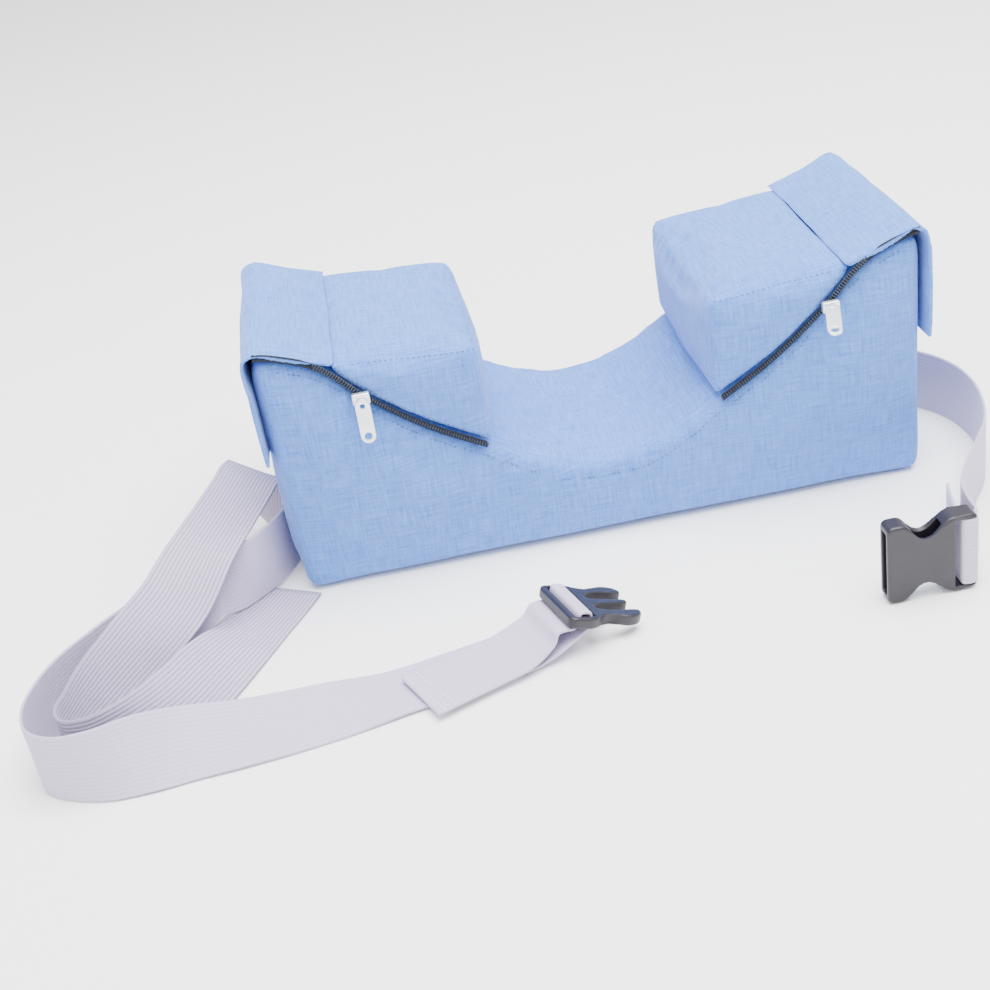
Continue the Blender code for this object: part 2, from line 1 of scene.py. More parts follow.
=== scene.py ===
"""Looks of the neck support pillow: its blue cover, zips, elastic belt and buckle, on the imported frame.

All sizes are in metres. +X runs along the pillow, +Y away from its front face, +Z up.
"""

from __future__ import annotations

import logging
from bisect import bisect_right
from collections.abc import Iterator
from dataclasses import dataclass, field
from enum import Enum
from math import cos, pi, radians, sin

import bmesh
import bpy
import numpy as np
from mathutils import Matrix, Vector, noise
from mathutils.bvhtree import BVHTree
from mathutils.kdtree import KDTree


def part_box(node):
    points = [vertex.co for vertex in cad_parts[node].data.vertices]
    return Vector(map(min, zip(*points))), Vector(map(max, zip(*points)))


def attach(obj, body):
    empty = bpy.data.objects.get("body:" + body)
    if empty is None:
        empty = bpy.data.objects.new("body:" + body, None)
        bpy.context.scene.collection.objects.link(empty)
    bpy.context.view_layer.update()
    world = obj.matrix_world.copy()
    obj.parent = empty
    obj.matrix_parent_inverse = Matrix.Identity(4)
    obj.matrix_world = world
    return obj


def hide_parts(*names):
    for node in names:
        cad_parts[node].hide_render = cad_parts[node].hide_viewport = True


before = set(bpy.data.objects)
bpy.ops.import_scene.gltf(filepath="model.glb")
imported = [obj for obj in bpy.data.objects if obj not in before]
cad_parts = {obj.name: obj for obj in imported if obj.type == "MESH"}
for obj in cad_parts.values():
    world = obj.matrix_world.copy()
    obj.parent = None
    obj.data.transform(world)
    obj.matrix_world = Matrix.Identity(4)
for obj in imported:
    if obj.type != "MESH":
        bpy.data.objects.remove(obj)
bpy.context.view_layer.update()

BODY = "root"
MM = 0.001
LOG = logging.getLogger("pillow")

# The base's top, from its middle to its end: (reach, height) in millimetres
WAVE = ((0, 48.0), (30, 52.0), (65, 72.5), (100, 93.5),
        (130, 117.5), (153, 140.5), (175, 151.0), (190, 154.0))
FRONT = -0.073
INWARD = Vector((0, 1, 0))
OUTWARD = Vector((0, -1, 0))
UPWARD = Vector((0, 0, 1))
WEDGE_INNER = 0.065
WEDGE_OUTER = 0.150
WEDGE_TOP = (0.137, 0.1435)
SLIDER_REACH = 0.134


class Side(Enum):
    """The two ends of the pillow, with the sign of their X."""

    LEFT = -1
    RIGHT = 1

    @property
    def word(self) -> str:
        """The side's name in the names of its pieces."""
        return self.name.lower()


class Bead(Enum):
    """What is set along a path: a thread's stitch or a zip's tooth."""

    STITCH = "stitch"
    TOOTH = "tooth"


def wave_slope(row: int) -> float:
    """Slope of the wave, level at the middle and at the end.

    Args:
        row: which of the wave's rows.

    Returns:
        The slope there.
    """
    if row in (0, len(WAVE) - 1):
        return 0.0
    before, after = WAVE[row - 1], WAVE[row + 1]
    return (after[1] - before[1]) / (after[0] - before[0])


def wave_height(x: float) -> float:
    """Height of the base's top.

    Args:
        x: place along the pillow, in metres.

    Returns:
        The height there, in metres.
    """
    reach = min(abs(x) / MM, WAVE[-1][0])
    row = min(bisect_right([spot[0] for spot in WAVE], reach) - 1, len(WAVE) - 2)
    left, right = WAVE[row], WAVE[row + 1]
    span = right[0] - left[0]
    share = (reach - left[0]) / span
    square, cube = share ** 2, share ** 3
    rise, fall = wave_slope(row) * span, wave_slope(row + 1) * span
    height = (2 * cube - 3 * square + 1) * left[1] + (cube - 2 * square + share) * rise
    height += (3 * square - 2 * cube) * right[1] + (cube - square) * fall
    return height * MM


class MaterialTree:
    """A material whose nodes are added and linked by short calls."""

    def __init__(self, name: str) -> None:
        """Start a material with an empty Principled shader."""
        self.material = bpy.data.materials.new(name)
        self.material.use_nodes = True
        self.tree = self.material.node_tree
        self.shader = self.tree.nodes["Principled BSDF"]

    def add(self, kind: str, inputs: dict | None = None, **settings: object) -> bpy.types.Node:
        """Add a node.

        Args:
            kind: the node's type, without its ShaderNode prefix.
            inputs: values or sockets for its inputs, by name or index.
            settings: values for the node's own properties.

        Returns:
            The node.
        """
        node = self.tree.nodes.new("ShaderNode" + kind)
        for key, value in settings.items():
            setattr(node, key, value)
        for key, value in (inputs or {}).items():
            self.feed(node.inputs[key], value)
        return node

    def feed(self, socket: bpy.types.NodeSocket, value: object) -> None:
        """Link a socket to another, or set its value.

        Args:
            socket: the input.
            value: another node's output, or a plain value.
        """
        if isinstance(value, bpy.types.NodeSocket):
            self.tree.links.new(value, socket)
        else:
            socket.default_value = value

    def maths(self, operation: str, first: object, second: object = 0.0) -> bpy.types.NodeSocket:
        """Output of a Math node."""
        return self.add("Math", {0: first, 1: second}, operation=operation).outputs[0]

    def blend(self, share: object, first: object, second: object) -> bpy.types.NodeSocket:
        """Mix two colours.

        Args:
            share: 0 for the first colour, 1 for the second.
            first: a colour or an output.
            second: a colour or an output.

        Returns:
            The mixed colour's output.
        """
        node = self.add("Mix", data_type="RGBA")
        self.feed(node.inputs[0], share)
        self.feed(node.inputs[6], first)
        self.feed(node.inputs[7], second)
        return node.outputs[2]

    def noise(self, vector: object, scale: float, detail: float = 3.0) -> bpy.types.NodeSocket:
        """Value of a noise texture at a vector."""
        return self.add("TexNoise", {"Vector": vector, "Scale": scale, "Detail": detail}).outputs[0]

    def ramp(self, value: object, low: float, high: float) -> bpy.types.NodeSocket:
        """Share from 0 at low to 1 at high, held beyond them."""
        return self.add("MapRange", {"Value": value, "From Min": low, "From Max": high}).outputs[0]

    def stretch(self, vector: object, scale: tuple[float, float, float]) -> bpy.types.NodeSocket:
        """A vector scaled along its axes."""
        return self.add("Mapping", {"Vector": vector, "Scale": scale}).outputs[0]

    def finish(self, colour: object, settings: dict[str, object]) -> None:
        """Give the shader its colour and its constant settings.

        Args:
            colour: the output that gives its base colour.
            settings: values of its other inputs, by name.
        """
        self.feed(self.shader.inputs["Base Color"], colour)
        for name, value in settings.items():
            self.shader.inputs[name].default_value = value

    def bump(self, height: object, strength: float, distance: float) -> None:
        """Give the shader a bump from a height."""
        node = self.add("Bump", {"Height": height, "Strength": strength, "Distance": distance})
        self.feed(self.shader.inputs["Normal"], node.outputs[0])


@dataclass(frozen=True)
class ClothFinish:
    """Light blue chambray: blue warp and paler weft, with uneven slubs and a soft nap."""

    name: str = "blue_chambray"
    warp: tuple = (0.060, 0.172, 0.550, 1.0)
    weft: tuple = (0.140, 0.305, 0.770, 1.0)
    shade: tuple = (0.072, 0.200, 0.620, 1.0)
    thread: float = 0.0007
    slub: tuple = (60.0, 900.0)
    slub_range: tuple = (0.72, 1.28)
    mottle_grain: float = 420.0
    wash_grain: float = 22.0
    wash_share: float = 0.16
    relief: float = 0.0004

    def material(self) -> bpy.types.Material:
        """Build the cloth's material, laid out on the pieces' UV maps in metres.

        Returns:
            The material.
        """
        tree = MaterialTree(self.name)
        spot = tree.add("UVMap", uv_map="cloth").outputs[0]
        parts = tree.add("SeparateXYZ", {0: spot})
        turn = 2 * pi / self.thread
        across = tree.maths("SINE", tree.maths("MULTIPLY", parts.outputs[0], turn))
        along = tree.maths("SINE", tree.maths("MULTIPLY", parts.outputs[1], turn))
        weave = tree.maths("MULTIPLY", across, along)
        long, short = self.slub
        slub_across = tree.noise(tree.stretch(spot, (long, short, 1.0)), 1.0)
        slub_along = tree.noise(tree.stretch(spot, (short, long, 1.0)), 1.0)
        slub = tree.maths("ADD", slub_across, slub_along)
        mottle = tree.maths("SUBTRACT", tree.noise(spot, self.mottle_grain, 2.0), 0.5)
        share = tree.maths("ADD", tree.maths("MULTIPLY", weave, 0.12), tree.ramp(slub, *self.slub_range))
        share = tree.maths("ADD", share, tree.maths("MULTIPLY", mottle, 0.6))
        colour = tree.blend(tree.ramp(share, -0.05, 1.05), self.warp, self.weft)
        wash = tree.noise(tree.add("TexCoord").outputs["Object"], self.wash_grain, 2.0)
        faded = tree.maths("MULTIPLY", tree.ramp(wash, 0.3, 0.75), self.wash_share)
        tree.finish(tree.blend(faded, colour, self.shade), {
            "Roughness": 0.92,
            "Specular IOR Level": 0.18,
            "Sheen Weight": 0.22,
            "Sheen Roughness": 0.5,
            "Sheen Tint": (0.86, 0.86, 1.0, 1.0),
        })
        height = tree.maths("ADD", tree.maths("MULTIPLY", weave, 0.5), tree.maths("MULTIPLY", slub, 0.9))
        tree.bump(height, 0.35, self.relief)
        return tree.material


@dataclass(frozen=True)
class WebbingFinish:
    """Lilac-grey elastic webbing: pale ribs, grooves darkened with painted shade, and fine picks across.
    """

    name: str = "lilac_elastic"
    rib: tuple = (0.520, 0.470, 0.640, 1.0)
    # painted shade: the colour that the grooves between the ribs are darkened towards
    groove: tuple = (0.200, 0.175, 0.250, 1.0)
    worn: tuple = (0.380, 0.340, 0.480, 1.0)
    pick: float = 0.0011
    fibre: tuple = (2600.0, 500.0, 1.0)
    relief: float = 0.0003

    def material(self) -> bpy.types.Material:
        """Build the webbing's material, from its UV map in metres and its groove attribute, which paints
        shade into the grooves.

        Returns:
            The material.
        """
        tree = MaterialTree(self.name)
        spot = tree.add("UVMap", uv_map="cloth").outputs[0]
        parts = tree.add("SeparateXYZ", {0: spot})
        picks = tree.maths("SINE", tree.maths("MULTIPLY", parts.outputs[1], 2 * pi / self.pick))
        fibre = tree.noise(tree.stretch(spot, self.fibre), 1.0)
        # painted shade: the groove attribute darkens the colour in the grooves
        groove = tree.add("Attribute", attribute_name="groove").outputs["Fac"]
        colour = tree.blend(groove, self.rib, self.groove)
        fade = tree.maths("MULTIPLY", tree.ramp(fibre, 0.35, 0.8), 0.22)
        tree.finish(tree.blend(fade, colour, self.worn), {
            "Roughness": 0.82,
            "Specular IOR Level": 0.25,
            "Sheen Weight": 0.15,
        })
        height = tree.maths("ADD", tree.maths("MULTIPLY", picks, 0.35), fibre)
        tree.bump(height, 0.3, self.relief)
        return tree.material


@dataclass(frozen=True)
class PlainFinish:
    """A moulded, plated or spun finish: one colour with fine uneven shade, gloss and grain."""

    name: str
    colour: tuple
    worn: tuple
    roughness: float
    spread: float
    metallic: float = 0.0
    grain: float = 900.0
    relief: float = 0.00003
    sheen: float = 0.0
    cloud_share: float = 0.6

    def material(self) -> bpy.types.Material:
        """Build the finish on Object coordinates.

        Returns:
            The material.
        """
        tree = MaterialTree(self.name)
        spot = tree.add("TexCoord").outputs["Object"]
        cloud = tree.noise(spot, self.grain / 12.0, 4.0)
        fine = tree.noise(spot, self.grain, 2.0)
        share = tree.maths("MULTIPLY", tree.ramp(cloud, 0.35, 0.7), self.cloud_share)
        rough = tree.maths("MULTIPLY_ADD", cloud, self.spread)
        tree.feed(rough.node.inputs[2], self.roughness - 0.5 * self.spread)
        tree.feed(tree.shader.inputs["Roughness"], rough)
        tree.finish(tree.blend(share, self.colour, self.worn),
                    {"Metallic": self.metallic, "Sheen Weight": self.sheen})
        tree.bump(fine, 0.4, self.relief)
        return tree.material


BUCKLE = PlainFinish("violet_black_plastic", (0.010, 0.008, 0.014, 1.0), (0.018, 0.015, 0.024, 1.0),
                     0.42, 0.12)
PLATED = PlainFinish("plated_metal", (0.86, 0.87, 0.90, 1.0), (0.70, 0.71, 0.76, 1.0),
                     0.26, 0.14, metallic=0.75, grain=1400.0)
TAPE = PlainFinish("navy_tape", (0.003, 0.006, 0.016, 1.0), (0.008, 0.014, 0.034, 1.0),
                   0.85, 0.1, grain=2400.0, relief=0.0001, sheen=0.1)
TEETH = PlainFinish("navy_teeth", (0.006, 0.012, 0.030, 1.0), (0.020, 0.035, 0.070, 1.0),
                    0.42, 0.1)
BLUE_THREAD = PlainFinish("blue_thread", (0.030, 0.075, 0.240, 1.0), (0.055, 0.120, 0.340, 1.0),
                          0.8, 0.1, grain=3000.0, sheen=0.2)
PALE_THREAD = PlainFinish("pale_thread", (0.840, 0.830, 0.880, 1.0), (0.700, 0.690, 0.760, 1.0),
                          0.8, 0.1, grain=3000.0, sheen=0.2)


class Finishes:
    """Every finish's material, made when it is first asked for."""

    def __init__(self) -> None:
        """Start with no material made."""
        self.made: dict[str, bpy.types.Material] = {}

    def get(self, finish: ClothFinish | WebbingFinish | PlainFinish) -> bpy.types.Material:
        """The material of a finish.

        Args:
            finish: the finish.

        Returns:
            Its material, the same one each time.
        """
        if finish.name not in self.made:
            self.made[finish.name] = finish.material()
        return self.made[finish.name]


FINISHES = Finishes()


def link_mesh(name: str, mesh: bpy.types.Mesh, material: bpy.types.Material) -> bpy.types.Object:
    """Make an object of a mesh, in one material, with smooth faces.

    Args:
        name: the piece's name.
        mesh: its mesh, in place.
        material: its only material.

    Returns:
        The object, linked to the scene.
    """
    mesh.name = name
    mesh.materials.clear()
    mesh.materials.append(material)
    mesh.shade_smooth()
    piece = bpy.data.objects.new(name, mesh)
    bpy.context.scene.collection.objects.link(piece)
    return piece


def mesh_of(shape: bmesh.types.BMesh, name: str) -> bpy.types.Mesh:
    """Turn a shape into a mesh and let the shape go.

    Args:
        shape: the finished shape.
        name: the mesh's name.

    Returns:
        The mesh.
    """
    mesh = bpy.data.meshes.new(name)
    shape.to_mesh(mesh)
    shape.free()
    return mesh


def merged_copy(node: str) -> bpy.types.Mesh:
    """Copy a frame node's mesh, with its loose triangles joined.

    Args:
        node: the node's name.

    Returns:
        The copy.
    """
    shape = bmesh.new()
    shape.from_mesh(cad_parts[node].data)
    bmesh.ops.remove_doubles(shape, verts=shape.verts, dist=0.00001)
    return mesh_of(shape, node + "_copy")


def bake_modifiers(piece: bpy.types.Object) -> None:
    """Turn a piece's modifiers into its plain mesh.

    Args:
        piece: the piece, which keeps its place.
    """
    graph = bpy.context.evaluated_depsgraph_get()
    graph.update()
    mesh = bpy.data.meshes.new_from_object(piece.evaluated_get(graph))
    piece.modifiers.clear()
    piece.data = mesh
    mesh.shade_smooth()


def regrid(piece: bpy.types.Object, voxel: float, softening: int = 0) -> None:
    """Lay an even grid over a piece and soften its edges.

    Args:
        piece: a closed piece.
        voxel: the grid's size.
        softening: how many times its points are evened out.
    """
    grid = piece.modifiers.new("grid", "REMESH")
    grid.mode = "VOXEL"
    grid.voxel_size = voxel
    bake_modifiers(piece)
    if softening:
        soften = piece.modifiers.new("soften", "SMOOTH")
        soften.factor = 0.5
        soften.iterations = softening
        bake_modifiers(piece)


def coordinates(mesh: bpy.types.Mesh) -> np.ndarray:
    """Read a mesh's points.

    Args:
        mesh: the mesh.

    Returns:
        Its points, one row each.
    """
    spots = np.empty(len(mesh.vertices) * 3)
    mesh.vertices.foreach_get("co", spots)
    return spots.reshape(-1, 3)


def normals(mesh: bpy.types.Mesh) -> np.ndarray:
    """Read the ways that a mesh's points face.

    Args:
        mesh: the mesh.

    Returns:
        Its normals, one row each.
    """
    ways = np.empty(len(mesh.vertices) * 3)
    mesh.vertices.foreach_get("normal", ways)
    return ways.reshape(-1, 3)


def set_coordinates(mesh: bpy.types.Mesh, spots: np.ndarray) -> None:
    """Move a mesh's points."""
    mesh.vertices.foreach_set("co", spots.ravel())
    mesh.update()


def unwrap_faces(mesh: bpy.types.Mesh) -> None:
    """Lay each face on the plane that it faces, as a UV map in metres.

    Args:
        mesh: the mesh, which gains the map.
    """
    layer = mesh.uv_layers.new(name="cloth")
    planes = {0: (1, 2), 1: (0, 2), 2: (0, 1)}
    for face in mesh.polygons:
        way = [abs(value) for value in face.normal]
        first, second = planes[way.index(max(way))]
        for loop in face.loop_indices:
            spot = mesh.vertices[mesh.loops[loop].vertex_index].co
            layer.data[loop].uv = (spot[first], spot[second])


@dataclass(frozen=True)
class Swelling:
    """How a foam block's cover swells: grid, inset, pressure and the most that it may move."""

    voxel: float
    inset: float
    cap: float
    pressure: float = 4.0
    stiffness: float = 30.0
    bending: float = 2.0
    frames: int = 20

    def run(self, piece: bpy.types.Object) -> None:
        """Lay a grid over a piece and press its cover out by cloth simulation.

        Args:
            piece: the block.
        """
        regrid(piece, self.voxel)
        rest = coordinates(piece.data)
        set_coordinates(piece.data, rest - self.inset * normals(piece.data))
        self.simulate(piece)
        move = coordinates(piece.data) - rest
        length = np.linalg.norm(move, axis=1, keepdims=True)
        move *= np.minimum(1.0, self.cap / np.maximum(length, 1e-9))
        set_coordinates(piece.data, rest + move)

    def simulate(self, piece: bpy.types.Object) -> None:
        """Step the cloth and keep its last shape.

        Args:
            piece: the block, already drawn in.
        """
        cloth = piece.modifiers.new("cloth", "CLOTH")
        cloth.settings.quality = 5
        cloth.settings.tension_stiffness = self.stiffness
        cloth.settings.compression_stiffness = self.stiffness
        cloth.settings.bending_stiffness = self.bending
        cloth.settings.use_pressure = True
        cloth.settings.uniform_pressure_force = self.pressure
        cloth.settings.effector_weights.gravity = 0.0
        for step in range(1, self.frames + 1):
            bpy.context.scene.frame_set(step)
        bake_modifiers(piece)
        bpy.context.scene.frame_set(1)


def subdivide(piece: bpy.types.Object, levels: int) -> None:
    """Smooth a piece by subdivision.

    Args:
        piece: the piece.
        levels: how many times each face is split.
    """
    surface = piece.modifiers.new("subdivision", "SUBSURF")
    surface.levels = levels
    surface.render_levels = levels
    bake_modifiers(piece)


def densify(path: list[Vector], step: float) -> list[Vector]:
    """Fill a path with points.

    Args:
        path: its corners.
        step: about how far apart the points are.

    Returns:
        The points, from its start to its end.
    """
    dense = []
    for start, end in zip(path, path[1:]):
        count = max(1, int((end - start).length / step))
        dense += [start.lerp(end, turn / count) for turn in range(count)]
    return dense + [path[-1]]


class Relief:
    """Soft shapes pressed into a mesh's points: seams, puckers and uneven swells."""

    STEP = 0.001
    FADE = 3

    def __init__(self, mesh: bpy.types.Mesh) -> None:
        """Take a mesh's points and normals."""
        self.mesh = mesh
        self.spots = coordinates(mesh)
        self.ways = normals(mesh)

    def near(self, path: list[Vector], reach: float) -> Iterator[tuple[int, int, float]]:
        """Find the mesh's points near a path.

        Args:
            path: points of a seam.
            reach: the distance over which its mark fades.

        Yields:
            A point's index, its place along the path, and its distance from it.
        """
        dense = densify(path, self.STEP)
        tree = KDTree(len(dense))
        for index, spot in enumerate(dense):
            tree.insert(spot, index)
        tree.balance()
        for index, spot in enumerate(self.spots):
            _, place, gap = tree.find(spot)
            if gap < self.FADE * reach:
                yield index, place, gap

    def seam(self, path: list[Vector], depth: float, width: float) -> None:
        """Press a groove along a path.

        Args:
            path: points of the seam.
            depth: how deep its middle is.
            width: its half width.
        """
        for index, _, gap in self.near(path, width):
            self.spots[index] -= self.ways[index] * depth * np.exp(-(gap / width) ** 2)

    def swell(self, height: float, size: float, seed: float) -> None:
        """Add uneven swells.

        Args:
            height: how high they are.
            size: how wide they are.
            seed: which swells are drawn.
        """
        for index, spot in enumerate(self.spots):
            value = noise.noise(Vector(spot) / size + Vector((seed, seed, seed)))
            self.spots[index] += self.ways[index] * height * value

    def pucker(self, path: list[Vector], height: float, pitch: float, reach: float, seed: float) -> None:
        """Add short wrinkles that run across a seam.

        Args:
            path: points of the seam.
            height: how high the wrinkles are.
            pitch: their mean distance along the seam.
            reach: how far they run from it.
            seed: which wrinkles are drawn.
        """
        for index, place, gap in self.near(path, reach):
            wave = noise.noise(Vector((place * self.STEP / pitch, gap / (4 * reach), seed)))
            self.spots[index] += self.ways[index] * height * wave * np.exp(-(gap / reach) ** 2)

    def finish(self) -> None:
        """Write the points back to the mesh."""
        set_coordinates(self.mesh, self.spots)


def smooth_route(spots: list[Vector], step: float) -> list[Vector]:
    """Points about a step apart on a smooth curve through given vectors.

    Args:
        spots: the curve's own points, of any dimension.
        step: distance between the points read from it.

    Returns:
        The points, from the first given one to the last.
    """
    first = spots[0] + (spots[0] - spots[1])
    last = spots[-1] + (spots[-1] - spots[-2])
    padded = [first] + spots + [last]
    route = []
    for before, start, end, after in zip(padded, padded[1:], padded[2:], padded[3:]):
        gap = (end - start).length
        near = max((start - before).length, 0.5 * gap)
        far = max((after - end).length, 0.5 * gap)
        lean_in = ((end - start) / gap + (start - before) / near - (end - before) / (gap + near)) * gap
        lean_out = ((end - start) / gap + (after - end) / far - (after - start) / (gap + far)) * gap
        count = max(1, round(gap / step))
        for turn in range(count):
            share = turn / count
            square, cube = share ** 2, share ** 3
            route.append(start * (2 * cube - 3 * square + 1) + lean_in * (cube - 2 * square + share)
                         + end * (3 * square - 2 * cube) + lean_out * (cube - square))
    route.append(spots[-1])
    return route


class PathRepeat:
    """A Geometry Nodes tree that sets beads along paths, turned to follow them."""

    def __init__(self, bead: Bead) -> None:
        """Build the tree for one kind of bead."""
        self.tree = bpy.data.node_groups.new(f"{bead.value}_row", "GeometryNodeTree")
        self.keys: dict[str, str] = {}
        self.socket("Path", "NodeSocketGeometry", "INPUT")
        kinds = {"Pitch": "Float", "Size": "Vector", "Facing": "Vector", "Unevenness": "Float",
                 "Seed": "Int", "Finish": "Material"}
        for name, kind in kinds.items():
            self.socket(name, "NodeSocket" + kind, "INPUT")
        self.socket("Beads", "NodeSocketGeometry", "OUTPUT")
        self.build(bead)

    def socket(self, name: str, kind: str, way: str) -> None:
        """Add a named socket to the tree and keep its identifier."""
        made = self.tree.interface.new_socket(name=name, in_out=way, socket_type=kind)
        self.keys[name] = made.identifier

    def node(self, kind: str, **settings: object) -> bpy.types.Node:
        """Add a node.

        Args:
            kind: the node's type.
            settings: values for its own properties.

        Returns:
            The node.
        """
        made = self.tree.nodes.new(kind)
        for key, value in settings.items():
            setattr(made, key, value)
        return made

    def build(self, bead: Bead) -> None:
        """Lay out the tree: resample the path, turn and size the beads, realise and finish them.

        Args:
            bead: what is set along the path.
        """
        link = self.tree.links.new
        start = self.node("NodeGroupInput")
        curve = self.node("GeometryNodeMeshToCurve")
        spaced = self.node("GeometryNodeResampleCurve", mode="LENGTH")
        tangent = self.node("GeometryNodeInputTangent")
        along = self.node("FunctionNodeAlignRotationToVector", axis="Z")
        facing = self.node("FunctionNodeAlignRotationToVector", axis="Y", pivot_axis="Z")
        uneven = self.node("FunctionNodeRandomValue", data_type="FLOAT")
        size = self.node("ShaderNodeVectorMath", operation="SCALE")
        less = self.node("ShaderNodeMath", operation="SUBTRACT")
        less.inputs[0].default_value = 1.0
        place = self.node("GeometryNodeInstanceOnPoints")
        real = self.node("GeometryNodeRealizeInstances")
        smooth = self.node("GeometryNodeSetShadeSmooth")
        dress = self.node("GeometryNodeSetMaterial")
        end = self.node("NodeGroupOutput")
        link(start.outputs["Path"], curve.inputs["Mesh"])
        link(curve.outputs["Curve"], spaced.inputs["Curve"])
        link(start.outputs["Pitch"], spaced.inputs["Length"])
        link(tangent.outputs[0], along.inputs["Vector"])
        link(along.outputs[0], facing.inputs["Rotation"])
        link(start.outputs["Facing"], facing.inputs["Vector"])
        link(start.outputs["Unevenness"], less.inputs[1])
        link(less.outputs[0], uneven.inputs[2])
        uneven.inputs[3].default_value = 1.0
        link(start.outputs["Seed"], uneven.inputs["Seed"])
        link(start.outputs["Size"], size.inputs[0])
        link(uneven.outputs[1], size.inputs["Scale"])
        link(spaced.outputs["Curve"], place.inputs["Points"])
        link(facing.outputs[0], place.inputs["Rotation"])
        link(size.outputs[0], place.inputs["Scale"])
        link(self.bead(bead).outputs[0], place.inputs["Instance"])
        link(place.outputs[0], real.inputs[0])
        link(real.outputs[0], smooth.inputs[0])
        link(smooth.outputs[0], dress.inputs["Geometry"])
        link(start.outputs["Finish"], dress.inputs["Material"])
        link(dress.outputs[0], end.inputs[0])

    def bead(self, bead: Bead) -> bpy.types.Node:
        """One bead, a unit across.

        Args:
            bead: which kind.

        Returns:
            The node that makes it.
        """
        if bead is Bead.STITCH:
            shape = self.node("GeometryNodeMeshUVSphere")
            shape.inputs["Segments"].default_value = 6
            shape.inputs["Rings"].default_value = 4
            shape.inputs["Radius"].default_value = 0.5
        else:
            shape = self.node("GeometryNodeMeshCube")
        return shape

    def row(self, name: str, paths: list[list[Vector]], pitch: float, size: Vector, facing: Vector,
            finish: PlainFinish, seed: int, unevenness: float = 0.2) -> bpy.types.Object:
        """Set beads along paths and turn them into a plain mesh.

        Args:
            name: the new piece's name.
            paths: points of each path.
            pitch: distance between beads.
            size: a bead's size across, away from the surface, and along the path.
            facing: the way that the surface faces.
            finish: the beads' finish.
            seed: which unevenness is drawn.
            unevenness: how much smaller a bead may be.

        Returns:
            The piece.
        """
        shape = bmesh.new()
        for path in paths:
            spots = [shape.verts.new(spot) for spot in path]
            for first, second in zip(spots, spots[1:]):
                shape.edges.new((first, second))
        piece = bpy.data.objects.new(name, mesh_of(shape, name))
        bpy.context.scene.collection.objects.link(piece)
        modifier = piece.modifiers.new("beads", "NODES")
        modifier.node_group = self.tree
        values = {"Pitch": pitch, "Size": tuple(size), "Facing": tuple(facing), "Unevenness": unevenness,
                  "Seed": seed, "Finish": FINISHES.get(finish)}
        for key, value in values.items():
            modifier[self.keys[key]] = value
        bake_modifiers(piece)
        piece.data.name = name
        return piece


def report(piece: bpy.types.Object, slot: str) -> bpy.types.Object:
    """Let a finished piece ride on the pillow and log it.

    Args:
        piece: the piece.
        slot: not used.

    Returns:
        The piece.
    """
    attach(piece, BODY)
    LOG.info("%s: %d faces", piece.name, len(piece.data.polygons))
    return piece


@dataclass
class Cushion:
    """A foam block in its cover, made from its solid: swollen, seamed and slightly uneven."""

    node: str
    swelling: Swelling
    seams: list[list[Vector]] = field(default_factory=list)
    puckers: list[list[Vector]] = field(default_factory=list)
    unevenness: float = 0.0006
    swell_size: float = 0.045
    seam_depth: float = 0.0009
    seam_width: float = 0.0016
    pucker_height: float = 0.0026
    pucker_pitch: float = 0.007
    pucker_reach: float = 0.009
    fill: float = 0.9
    seed: float = 1.0
    piece: bpy.types.Object | None = None

    def build(self) -> None:
        """Make the cushion and let it replace its solid."""
        piece = link_mesh(self.node + "_cover", merged_copy(self.node), FINISHES.get(ClothFinish()))
        self.swelling.run(piece)
        subdivide(piece, 1)
        relief = Relief(piece.data)
        relief.swell(self.unevenness, self.swell_size, self.seed)
        for path in self.seams:
            relief.seam(path, self.seam_depth, self.seam_width)
        for path in self.puckers:
            relief.pucker(path, self.pucker_height, self.pucker_pitch, self.pucker_reach, self.seed)
        relief.finish()
        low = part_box(self.node)[0].z
        spots = coordinates(piece.data)
        spots[:, 2] = np.maximum(spots[:, 2], low)
        set_coordinates(piece.data, spots)
        unwrap_faces(piece.data)
        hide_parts(self.node)
        self.piece = report(piece, "blue_cloth")

    def lay(self, path: list[Vector], reach: float = 0.05) -> list[Vector]:
        """Move a path's points onto the cushion's front face.

        Args:
            path: points near it.
            reach: how far in front of it a point may start.

        Returns:
            The points that reached the face.
        """
        mesh = self.piece.data
        faces = [tuple(face.vertices) for face in mesh.polygons]
        surface = BVHTree.FromPolygons([vert.co for vert in mesh.vertices], faces)
        hits = [surface.ray_cast(spot - INWARD * reach, INWARD, 2 * reach)[0] for spot in path]
        return [hit for hit in hits if hit is not None]


